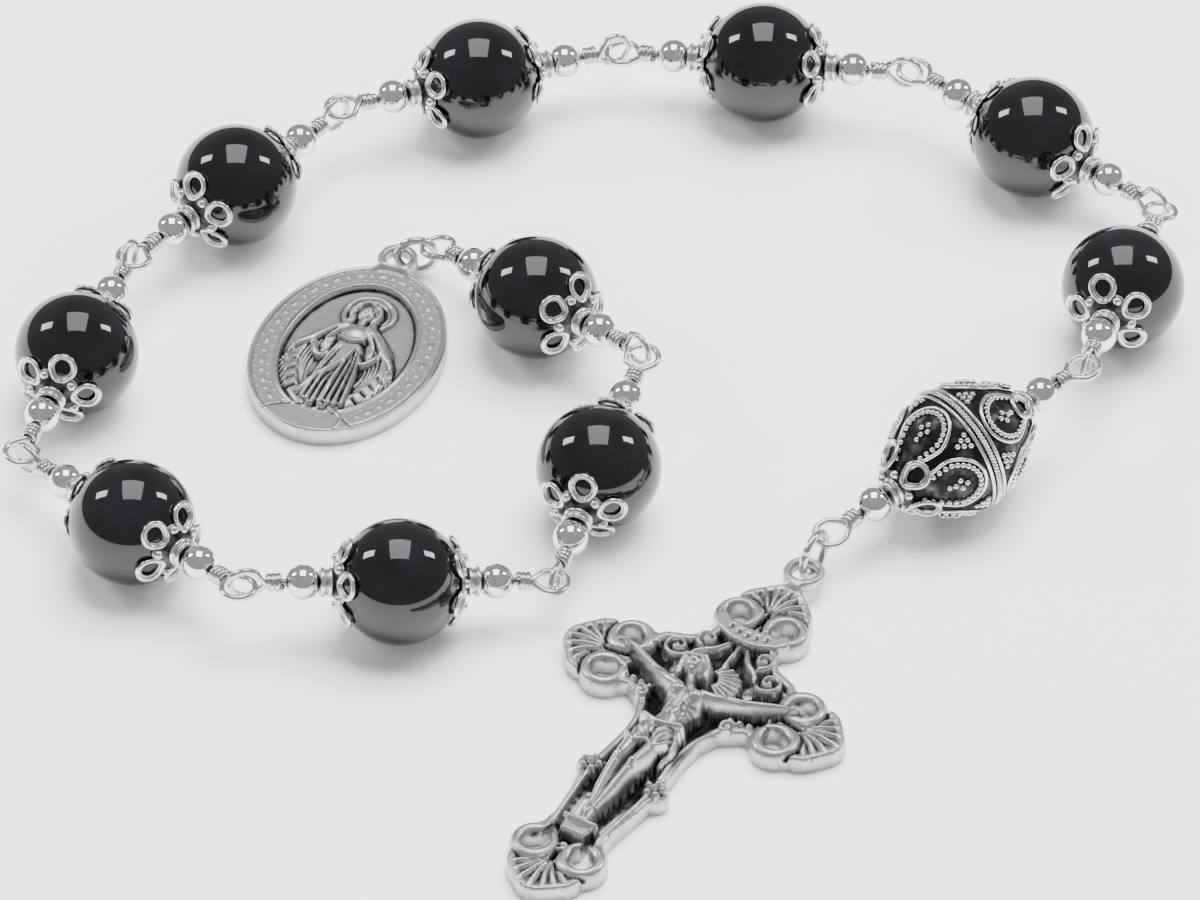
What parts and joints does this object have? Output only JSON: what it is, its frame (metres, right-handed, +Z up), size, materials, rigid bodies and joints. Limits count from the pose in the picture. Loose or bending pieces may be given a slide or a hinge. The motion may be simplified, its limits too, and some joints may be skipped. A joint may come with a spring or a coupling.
{
  "type": "rosary",
  "caption": "One-decade rosary of round black beads in silver flower caps on wrapped wire links, with a granulated silver bead, a pierced crucifix and an oval medal.",
  "frame": {"origin": "on the table plane, under the middle of the bounding box of the rosary as it lies", "axes": "+Z up from the table, +X to the right and +Y away from a viewer who sees the crucifix nearest"},
  "size_m": [0.1138, 0.1194, 0.0127],
  "materials": {
    "onyx": "polished",
    "oxidised_silver": "oxidised recesses, burnished wires and grains",
    "polished_silver": "polished",
    "silver_wire": "bright drawn wire",
    "antique_silver": "satin with dark recesses"
  },
  "bodies": {
    "crucifix": {"crucifix": "antique_silver"},
    "crucifix_ring": {"crucifix_ring": "silver_wire"},
    "silver_link": {"silver_wire": "silver_wire"},
    "silver_stack": {"silver_bead": "oxidised_silver", "silver_caps": "oxidised_silver", "silver_spacers": "polished_silver"},
    "onyx_01_link": {"onyx_01_wire": "silver_wire"},
    "onyx_01_stack": {"onyx_01_bead": "onyx", "onyx_01_caps": "oxidised_silver", "onyx_01_spacers": "polished_silver"},
    "onyx_02_link": {"onyx_02_wire": "silver_wire"},
    "onyx_02_stack": {"onyx_02_bead": "onyx", "onyx_02_caps": "oxidised_silver", "onyx_02_spacers": "polished_silver"},
    "onyx_03_link": {"onyx_03_wire": "silver_wire"},
    "onyx_03_stack": {"onyx_03_bead": "onyx", "onyx_03_caps": "oxidised_silver", "onyx_03_spacers": "polished_silver"},
    "onyx_04_link": {"onyx_04_wire": "silver_wire"},
    "onyx_04_stack": {"onyx_04_bead": "onyx", "onyx_04_caps": "oxidised_silver", "onyx_04_spacers": "polished_silver"},
    "onyx_05_link": {"onyx_05_wire": "silver_wire"},
    "onyx_05_stack": {"onyx_05_bead": "onyx", "onyx_05_caps": "oxidised_silver", "onyx_05_spacers": "polished_silver"},
    "onyx_06_link": {"onyx_06_wire": "silver_wire"},
    "onyx_06_stack": {"onyx_06_bead": "onyx", "onyx_06_caps": "oxidised_silver", "onyx_06_spacers": "polished_silver"},
    "onyx_07_link": {"onyx_07_wire": "silver_wire"},
    "onyx_07_stack": {"onyx_07_bead": "onyx", "onyx_07_caps": "oxidised_silver", "onyx_07_spacers": "polished_silver"},
    "onyx_08_link": {"onyx_08_wire": "silver_wire"},
    "onyx_08_stack": {"onyx_08_bead": "onyx", "onyx_08_caps": "oxidised_silver", "onyx_08_spacers": "polished_silver"},
    "onyx_09_link": {"onyx_09_wire": "silver_wire"},
    "onyx_09_stack": {"onyx_09_bead": "onyx", "onyx_09_caps": "oxidised_silver", "onyx_09_spacers": "polished_silver"},
    "onyx_10_link": {"onyx_10_wire": "silver_wire"},
    "onyx_10_stack": {"onyx_10_bead": "onyx", "onyx_10_caps": "oxidised_silver", "onyx_10_spacers": "polished_silver"},
    "medal_ring": {"medal_ring": "silver_wire"},
    "medal": {"medal": "antique_silver"}
  },
  "joints": [
    {"name": "crucifix_ring_swing", "type": "hinge", "parent": "crucifix", "child": "crucifix_ring", "pos_m": [0.02005, -0.01589, 0.002], "axis": [-0.866, 0.5, 0], "range_deg": [-30, 60]},
    {"name": "link_00_swing", "type": "hinge", "parent": "crucifix_ring", "child": "silver_link", "pos_m": [0.02057, -0.01498, 0.00415], "axis": [0.6157, -0.788, 0], "range_deg": [-60, 75]},
    {"name": "bead_00_spin", "type": "hinge", "parent": "silver_link", "child": "silver_stack", "pos_m": [0.03398, -0.00451, 0.0064], "axis": [0.7812, 0.6104, 0.1311], "continuous": true},
    {"name": "link_01_swing", "type": "hinge", "parent": "silver_link", "child": "onyx_01_link", "pos_m": [0.04661, 0.0065, 0.00861], "axis": [0.9537, -0.3007, 0], "range_deg": [-90, 90]},
    {"name": "bead_01_spin", "type": "hinge", "parent": "onyx_01_link", "child": "onyx_01_stack", "pos_m": [0.05072, 0.01952, 0.006], "axis": [0.2979, 0.9448, -0.1364], "continuous": true},
    {"name": "link_02_swing", "type": "hinge", "parent": "onyx_01_link", "child": "onyx_02_link", "pos_m": [0.05373, 0.03404, 0.00397], "axis": [-0.5948, -0.8039, 0], "range_deg": [-90, 90]},
    {"name": "bead_02_spin", "type": "hinge", "parent": "onyx_02_link", "child": "onyx_02_stack", "pos_m": [0.04278, 0.04214, 0.006], "axis": [-0.7996, 0.5917, 0.1029], "continuous": true},
    {"name": "link_03_swing", "type": "hinge", "parent": "onyx_02_link", "child": "onyx_03_link", "pos_m": [0.02974, 0.05096, 0.00763], "axis": [-0.1994, -0.9799, 0], "range_deg": [-90, 90]},
    {"name": "bead_03_spin", "type": "hinge", "parent": "onyx_03_link", "child": "onyx_03_stack", "pos_m": [0.01629, 0.05369, 0.006], "axis": [-0.9776, 0.1989, -0.0694], "continuous": true},
    {"name": "link_04_swing", "type": "hinge", "parent": "onyx_03_link", "child": "onyx_04_link", "pos_m": [0.00076, 0.056, 0.00491], "axis": [-0.3502, 0.9367, 0], "range_deg": [-90, 90]},
    {"name": "bead_04_spin", "type": "hinge", "parent": "onyx_04_link", "child": "onyx_04_stack", "pos_m": [-0.01208, 0.0512, 0.006], "axis": [-0.9361, -0.35, 0.036], "continuous": true},
    {"name": "link_05_swing", "type": "hinge", "parent": "onyx_04_link", "child": "onyx_05_link", "pos_m": [-0.02659, 0.045, 0.00657], "axis": [-0.7431, 0.6691, 0], "range_deg": [-90, 90]},
    {"name": "bead_05_spin", "type": "hinge", "parent": "onyx_05_link", "child": "onyx_05_stack", "pos_m": [-0.03575, 0.03483, 0.006], "axis": [-0.6691, -0.7431, -0.0025], "continuous": true},
    {"name": "link_06_swing", "type": "hinge", "parent": "onyx_05_link", "child": "onyx_06_link", "pos_m": [-0.04588, 0.02265, 0.00596], "axis": [0.9455, -0.3256, 0], "range_deg": [-90, 90]},
    {"name": "bead_06_spin", "type": "hinge", "parent": "onyx_06_link", "child": "onyx_06_stack", "pos_m": [-0.05032, 0.00976, 0.006], "axis": [-0.3254, -0.9451, -0.031], "continuous": true},
    {"name": "link_07_swing", "type": "hinge", "parent": "onyx_06_link", "child": "onyx_07_link", "pos_m": [-0.05386, -0.00493, 0.00553], "axis": [0.6947, 0.7193, 0], "range_deg": [-90, 90]},
    {"name": "bead_07_spin", "type": "hinge", "parent": "onyx_07_link", "child": "onyx_07_stack", "pos_m": [-0.04408, -0.01438, 0.006], "axis": [0.7178, -0.6932, 0.0644], "continuous": true},
    {"name": "link_08_swing", "type": "hinge", "parent": "onyx_07_link", "child": "onyx_08_link", "pos_m": [-0.03219, -0.02416, 0.00699], "axis": [0.1132, -0.9936, 0], "range_deg": [-90, 90]},
    {"name": "bead_08_spin", "type": "hinge", "parent": "onyx_08_link", "child": "onyx_08_stack", "pos_m": [-0.01874, -0.02263, 0.006], "axis": [0.9888, 0.1127, -0.0979], "continuous": true},
    {"name": "link_09_swing", "type": "hinge", "parent": "onyx_08_link", "child": "onyx_09_link", "pos_m": [-0.00407, -0.0195, 0.00453], "axis": [0.9563, -0.2924, 0], "range_deg": [-90, 90]},
    {"name": "bead_09_spin", "type": "hinge", "parent": "onyx_09_link", "child": "onyx_09_stack", "pos_m": [-0.00012, -0.00661, 0.006], "axis": [0.2898, 0.948, 0.1313], "continuous": true},
    {"name": "link_10_swing", "type": "hinge", "parent": "onyx_09_link", "child": "onyx_10_link", "pos_m": [0.00296, 0.00817, 0.00799], "axis": [-0.7314, -0.682, 0], "range_deg": [-90, 90]},
    {"name": "bead_10_spin", "type": "hinge", "parent": "onyx_10_link", "child": "onyx_10_stack", "pos_m": [-0.00617, 0.01796, 0.006], "axis": [-0.6727, 0.7214, -0.1648], "continuous": true},
    {"name": "medal_ring_swing", "type": "hinge", "parent": "onyx_10_link", "child": "medal_ring", "pos_m": [-0.01741, 0.02827, 0.00346], "axis": [0.0349, -0.9994, 0], "range_deg": [-75, 60]},
    {"name": "medal_swing", "type": "hinge", "parent": "medal_ring", "child": "medal", "pos_m": [-0.0182, 0.02824, 0.00185], "axis": [-0.0349, 0.9994, 0], "range_deg": [-75, 60]}
  ]
}
